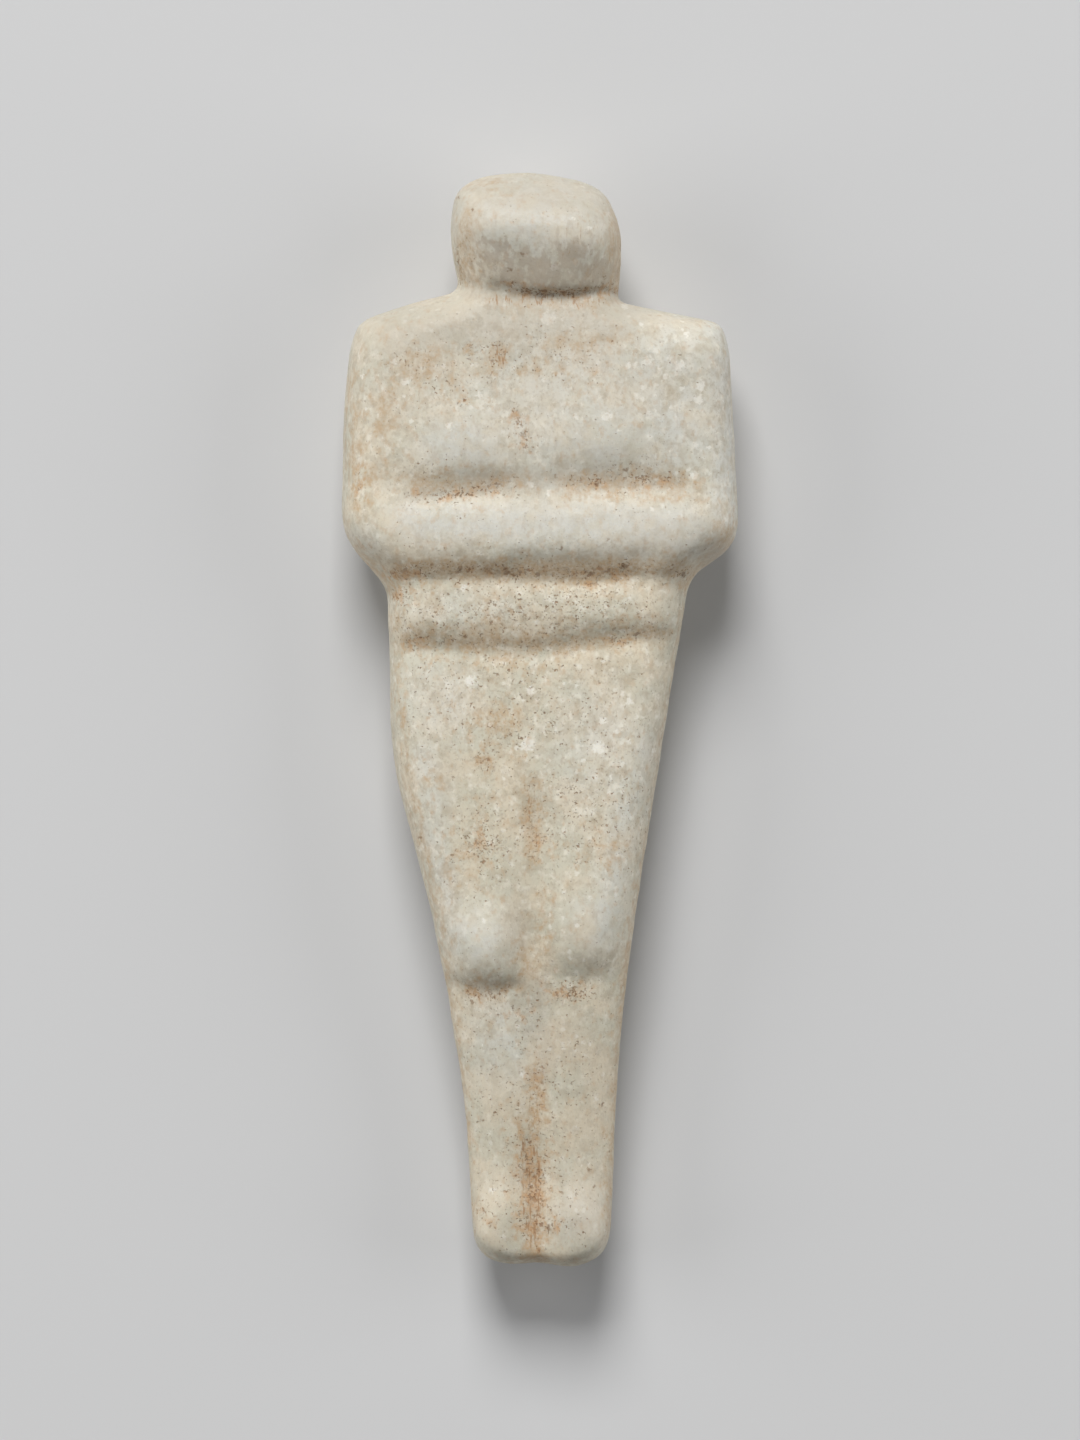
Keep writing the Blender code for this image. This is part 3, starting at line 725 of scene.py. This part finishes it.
PITS = (
    Spot(-14.9, 95.2, 0.4),
    Spot(-12.2, 92.5, 0.4),
    Spot(-3.2, 84.4, 0.5),
    Spot(-5.4, 81.7, 0.6),
    Spot(11.7, 80.4, 0.4),
    Spot(15.5, 45.5, 0.6),
    Spot(2.9, 44.4, 0.5),
    Spot(10.3, 42.9, 0.5),
    Spot(12.4, 32.8, 0.5),
    Ribbon(((-24.6, 32.3), (-23.8, 31.3)), 0.22, 0.9),
    Spot(3.9, 31.1, 0.5),
    Spot(15.4, 28.1, 0.6),
    Spot(-14.5, 27.5, 0.6),
    Spot(12.4, 27.3, 0.5),
    Spot(-6.0, 27.0, 0.8),
    Spot(9.5, 26.6, 0.55),
    Spot(26.1, 26.6, 0.6),
    Spot(-0.4, 26.4, 0.6),
    Spot(22.1, 19.1, 0.4),
    Spot(17.7, 15.7, 0.5),
    Spot(-13.6, 15.3, 0.5),
    Spot(-9.9, 11.5, 0.5),
    Spot(-17.8, -17.3, 0.4),
    Spot(-21.8, -21.3, 0.4),
    Spot(-12.4, -51.2, 0.5),
    Spot(2.6, -66.6, 0.4),
    Spot(11.4, -70.0, 0.4),
    Spot(-10.5, -72.8, 0.4),
    Spot(9.0, -81.9, 0.5),
    Spot(9.8, -85.1, 0.4),
    Spot(1.6, -92.4, 0.6),
)
print(len(FLECKS), "flecks and", len(PITS), "pits")

# %% Paint the marks
MARKS = {
    "tan": TAN,
    "cool": COOL,
    "veil": VEIL,
    "greying_and_shade": GREYING_AND_SHADE,
    "rust": RUST,
    "grime": GRIME,
    "streaks": STREAKS,
    "polished": POLISHED,
    "crystals": CRYSTALS,
    "flecks": FLECKS,
    "pits": PITS,
}

spots = vertex_numbers(figure, "co", 3)[:, :2]
facing = front_share(figure)
for name, brushes in MARKS.items():
    layer = figure.data.attributes.new(name=name, type="FLOAT", domain="POINT")
    layer.data.foreach_set("value", brushed(spots, brushes) * facing)
print(sum(len(brushes) for brushes in MARKS.values()), "touches in", len(MARKS), "layers")

# %% [markdown]
# ## Marble
#
# Island marble is a mass of crystals about a millimetre across. Light sinks into it a little, so
# its edges look waxy. An image of marble could be wrapped on, but it would smear at the rims. Noise
# and Voronoi textures in Object coordinates run through the block as real grain does, and each
# painted layer only says how much of a mark shows where.

# %% Node helpers
marble = bpy.data.materials.new("weathered_marble")
marble.use_nodes = True
nodes = marble.node_tree.nodes
links = marble.node_tree.links
stone = nodes["Principled BSDF"]
block_space = nodes.new("ShaderNodeTexCoord").outputs["Object"]
Tint = namedtuple("Tint", "colour strength")


def colour(red, green, blue):
    """A colour given from 0 to 255, as the linear shares a shader uses."""
    shares = np.array([red, green, blue]) / 255
    return (*((shares + 0.055) / 1.055) ** 2.4, 1.0)


def plug(value, socket):
    """Gives a socket a number or colour, or links an output to it."""
    if isinstance(value, bpy.types.NodeSocket):
        links.new(value, socket)
    else:
        socket.default_value = value


def painted(name):
    """The share of a painted layer."""
    layer = nodes.new("ShaderNodeAttribute")
    layer.attribute_name = name
    return layer.outputs["Fac"]


def grain_space(size, stretch, shift):
    """Object coordinates counted in grains. Stretch makes the grains longer along the body, and
    shift keeps one noise from lining up with another."""
    mapping = nodes.new("ShaderNodeMapping")
    mapping.inputs["Scale"].default_value = (1 / size, 1 / (size * stretch), 1 / size)
    mapping.inputs["Location"].default_value = (shift, shift, shift)
    links.new(block_space, mapping.inputs["Vector"])
    return mapping.outputs["Vector"]


def noise(size, detail=2.0, stretch=1.0, shift=0.0):
    """Soft noise around 0.5 with lumps of one size."""
    texture = nodes.new("ShaderNodeTexNoise")
    texture.inputs["Scale"].default_value = 1.0
    texture.inputs["Detail"].default_value = detail
    links.new(grain_space(size, stretch, shift), texture.inputs["Vector"])
    return texture.outputs["Fac"]


def maths(operation, first, second):
    """One sum or product."""
    node = nodes.new("ShaderNodeMath")
    node.operation = operation
    plug(first, node.inputs[0])
    plug(second, node.inputs[1])
    return node.outputs[0]


def ramp(value, start, end, low=0.0, high=1.0):
    """An eased rise from low to high while the value goes from start to end."""
    node = nodes.new("ShaderNodeMapRange")
    node.interpolation_type = "SMOOTHSTEP"
    plug(value, node.inputs["Value"])
    limits = (("From Min", start), ("From Max", end), ("To Min", low), ("To Max", high))
    for socket, limit in limits:
        plug(limit, node.inputs[socket])
    return node.outputs["Result"]


def layered(under, over, share):
    """One colour laid over another by a share."""
    node = nodes.new("ShaderNodeMix")
    node.data_type = "RGBA"
    plug(share, node.inputs[0])
    plug(under, node.inputs[6])
    plug(over, node.inputs[7])
    return node.outputs[2]


def tinted(under, tint, share):
    """A tint laid over a colour by a share, no stronger than the tint's own strength."""
    return layered(under, tint.colour, maths("MULTIPLY", share, tint.strength))


print("helpers ready on", marble.name)

# %% [markdown]
# ### The bare stone
#
# Cream and grey-white run into each other over a centimetre or two. On top sit soft clouds of one
# to three millimetres and the crystals themselves, each a little lighter or darker than the next.

# %% Bare stone
CREAM = colour(211, 200, 178)
GREEN_GREY = colour(200, 195, 176)
COOL_WHITE = Tint(colour(210, 210, 203), 0.85)
CLOUD_SHADE = colour(176, 162, 138)
CLOUD_LIGHT = colour(229, 224, 210)
GRAIN_SHADE = colour(160, 146, 122)

coarse = ramp(painted("polished"), 0.0, 1.0, 1.0, 0.42)
surface = layered(CREAM, GREEN_GREY, ramp(noise(7 * MM, 4.0), 0.36, 0.64))
cool_share = maths("MULTIPLY", painted("cool"), ramp(noise(3.0 * MM, 3.0, shift=4.0), 0.30, 0.60, 0.45, 1.0))
surface = tinted(surface, COOL_WHITE, cool_share)

dark_clouds = ramp(noise(2.4 * MM, 5.0, 1.2, shift=9.0), 0.50, 0.72, 0.0, 0.54)
surface = layered(surface, CLOUD_SHADE, maths("MULTIPLY", dark_clouds, coarse))
light_clouds = ramp(noise(1.6 * MM, 5.0, 1.2, shift=15.0), 0.50, 0.72, 0.0, 0.60)
surface = layered(surface, CLOUD_LIGHT, maths("MULTIPLY", light_clouds, coarse))
grain = ramp(noise(0.6 * MM, 3.0, 1.2, shift=18.0), 0.50, 0.74, 0.0, 0.36)
surface = layered(surface, GRAIN_SHADE, maths("MULTIPLY", grain, coarse))
print("bare stone", len(nodes), "nodes")

# %% Crystals
CRYSTAL_SIZE = 1.2 * MM
BRIGHT_CRYSTAL = Tint(colour(234, 231, 221), 0.52)
BRIGHT_FLECK = Tint(colour(234, 231, 221), 0.72)
CRYSTAL_SHADE = colour(170, 158, 137)
WAVE_SCALE = 2.2
WAVE_DEPTH = (0.9, 0.9, 0.9)


def cells(size, output):
    """Crystal cells of one size, with wavy sides."""
    waves = nodes.new("ShaderNodeTexNoise")
    waves.inputs["Scale"].default_value = WAVE_SCALE
    links.new(grain_space(size, 1.0, 5.0), waves.inputs["Vector"])
    bend = nodes.new("ShaderNodeVectorMath")
    bend.operation = "MULTIPLY_ADD"
    bend.inputs[1].default_value = WAVE_DEPTH
    links.new(waves.outputs["Color"], bend.inputs[0])
    links.new(grain_space(size, 1.0, 2.0), bend.inputs[2])
    texture = nodes.new("ShaderNodeTexVoronoi")
    texture.inputs["Scale"].default_value = 1.0
    links.new(bend.outputs["Vector"], texture.inputs["Vector"])
    return texture.outputs[output]


def chance(size):
    """A number from 0 to 1 that is the same all over one cell."""
    split = nodes.new("ShaderNodeSeparateColor")
    links.new(cells(size, "Color"), split.inputs["Color"])
    return split.outputs["Red"]


crystal_chance = chance(CRYSTAL_SIZE)
crystal_body = ramp(cells(CRYSTAL_SIZE, "Distance"), 0.22, 0.52, 1.0, 0.0)
dull_crystal = ramp(crystal_chance, 0.0, 0.40, 0.30, 0.0)
surface = layered(surface, CRYSTAL_SHADE, maths("MULTIPLY", dull_crystal, coarse))

luck_needed = maths("SUBTRACT", 0.97, maths("MULTIPLY", painted("crystals"), 0.16))
bright_crystal = ramp(maths("SUBTRACT", crystal_chance, luck_needed), -0.02, 0.06)
bright_crystal = maths("MULTIPLY", bright_crystal, crystal_body)
surface = tinted(surface, BRIGHT_CRYSTAL, bright_crystal)

ragged = ramp(noise(0.6 * MM, 3.0, shift=21.0), 0.3, 0.7, -0.25, 0.25)
fleck = ramp(maths("ADD", painted("flecks"), ragged), 0.36, 0.84)
surface = tinted(surface, BRIGHT_FLECK, fleck)
print("crystals", round(CRYSTAL_SIZE / MM, 2), "mm across")

# %% [markdown]
# ### The stains and painted shade
#
# An even grey darkens the crown, the neck, the shoulders and parts of the chest, arms, legs and feet,
# and it is painted shade under the breasts, under the right elbow and in the groove between the
# knees and the shins. A stain isn't such an even wash. The painted share and a noise are added and
# cut at a level, so a stain breaks up into blotches at its rim, and where the paint is weak only a
# few specks are left.

# %% Stains and painted shade
# Tan stain, which is also warm painted shade in the creases and under the elbows.
TAN_STAIN_AND_SHADE = Tint(colour(189, 164, 131), 0.80)
VEIL_GREY = Tint(colour(172, 155, 135), 0.48)
# An even grey darkening, also painted shade in the hollows under the breasts, the right elbow and between
# the legs.
GREYING_AND_SHADE_TINT = Tint(colour(174, 165, 150), 0.52)
RUST_ORANGE = Tint(colour(192, 154, 114), 0.80)
STREAK_BROWN = Tint(colour(160, 122, 84), 0.72)

blotchy = ramp(noise(1.5 * MM, 5.0, 1.3, shift=31.0), 0.27, 0.73, -0.5, 0.5)
sandy = ramp(noise(0.6 * MM, 3.0, 1.1, shift=33.0), 0.36, 0.64, 0.45, 1.0)
tan_share = maths("MULTIPLY", ramp(maths("ADD", painted("tan"), blotchy), 0.10, 1.0), sandy)
# Tan stain, and warm painted shade in the creases and under the elbows.
surface = tinted(surface, TAN_STAIN_AND_SHADE, tan_share)

streaky = ramp(noise(1.1 * MM, 4.0, 2.4, shift=37.0), 0.28, 0.72, -0.55, 0.55)
veil_share = ramp(maths("ADD", painted("veil"), streaky), 0.25, 0.85)
surface = tinted(surface, VEIL_GREY, veil_share)
# Even grey darkening, painted shade under the breasts, under the right elbow and between the legs.
surface = tinted(surface, GREYING_AND_SHADE_TINT, painted("greying_and_shade"))

rust_share = maths("MULTIPLY", ramp(maths("ADD", painted("rust"), blotchy), 0.22, 1.15), sandy)
surface = tinted(surface, RUST_ORANGE, rust_share)

threads = ramp(noise(0.42 * MM, 3.0, 6.0, shift=43.0), 0.28, 0.72, -0.6, 0.6)
thread_share = ramp(maths("ADD", painted("streaks"), threads), 0.65, 1.15)
surface = tinted(surface, STREAK_BROWN, thread_share)
print("stains", len(nodes), "nodes")

# %% Specks
SPECK_BROWN = colour(128, 100, 73)
SPECK_RED = colour(144, 110, 80)
SPECK_STRENGTH = 0.78
SOOT = Tint(SPECK_BROWN, 0.36)
PIT_SHADE = Tint(SPECK_BROWN, 0.65)
BARE_LEVEL = 0.69

speck_colour = layered(SPECK_BROWN, SPECK_RED, ramp(noise(3.0 * MM, 2.0, shift=47.0), 0.42, 0.58))
stained = maths("ADD", maths("MULTIPLY", painted("grime"), 0.15), maths("MULTIPLY", painted("rust"), 0.09))
speck_level = maths("SUBTRACT", BARE_LEVEL, stained)
patchy = ramp(noise(2.6 * MM, 3.0, shift=57.0), 0.34, 0.62, 0.30, 1.0)

fine_specks = ramp(maths("SUBTRACT", noise(0.42 * MM, 2.0, 1.1, shift=51.0), speck_level), 0.0, 0.07)
coarse_specks = ramp(maths("SUBTRACT", noise(0.9 * MM, 4.0, 1.0, shift=53.0), speck_level), 0.02, 0.08)
specks = maths("MULTIPLY", maths("MAXIMUM", fine_specks, coarse_specks), patchy)
surface = tinted(surface, Tint(speck_colour, SPECK_STRENGTH), specks)

soot = ramp(maths("ADD", painted("grime"), maths("MULTIPLY", blotchy, 0.7)), 0.75, 1.35)
surface = tinted(surface, SOOT, soot)
pit_share = ramp(maths("ADD", painted("pits"), ragged), 0.42, 0.90)
surface = tinted(surface, PIT_SHADE, pit_share)
plug(surface, stone.inputs["Base Color"])
print("marble colour", len(nodes), "nodes")

# %% [markdown]
# ### Polish and depth
#
# Centuries of handling left the high parts with a dull wax-like sheen, and the stained hollows stay
# rough. Two fine bumps, one for the grain and one for the specks' tiny holes, break up the light.

# %% Polish
GRAIN_BUMP = 0.05 * MM
HOLE_BUMP = 0.08 * MM
HANDLED_SHEEN = 0.08
SPECK_ROUGHNESS = 0.2
STONE_GLOSS = 0.35
GLOW_SHARE = 0.22
GLOW_SPREAD = (1.0, 0.85, 0.65)
GLOW_DEPTH = 1.2 * MM


def bumped(height, distance, normal=None):
    """Tilts the surface by a height; bumps can be laid one on another."""
    node = nodes.new("ShaderNodeBump")
    node.inputs["Distance"].default_value = distance
    plug(height, node.inputs["Height"])
    if normal:
        links.new(normal, node.inputs["Normal"])
    return node.outputs["Normal"]


polish = ramp(noise(0.9 * MM, 3.0, shift=63.0), 0.3, 0.7, 0.50, 0.66)
polish = maths("SUBTRACT", polish, maths("MULTIPLY", painted("polished"), HANDLED_SHEEN))
rough_share = maths("ADD", polish, maths("MULTIPLY", specks, SPECK_ROUGHNESS))
plug(rough_share, stone.inputs["Roughness"])
stone.inputs["Specular IOR Level"].default_value = STONE_GLOSS
stone.inputs["Subsurface Weight"].default_value = GLOW_SHARE
stone.inputs["Subsurface Radius"].default_value = GLOW_SPREAD
stone.inputs["Subsurface Scale"].default_value = GLOW_DEPTH

grain_normal = bumped(noise(0.4 * MM, 3.0, 1.2, shift=69.0), GRAIN_BUMP)
hole_normal = bumped(maths("SUBTRACT", 1.0, specks), HOLE_BUMP, grain_normal)
plug(hole_normal, stone.inputs["Normal"])

figure.data.materials.append(marble)
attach(figure, "root")
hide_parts("figurine")
print("marble laid on", figure.name)
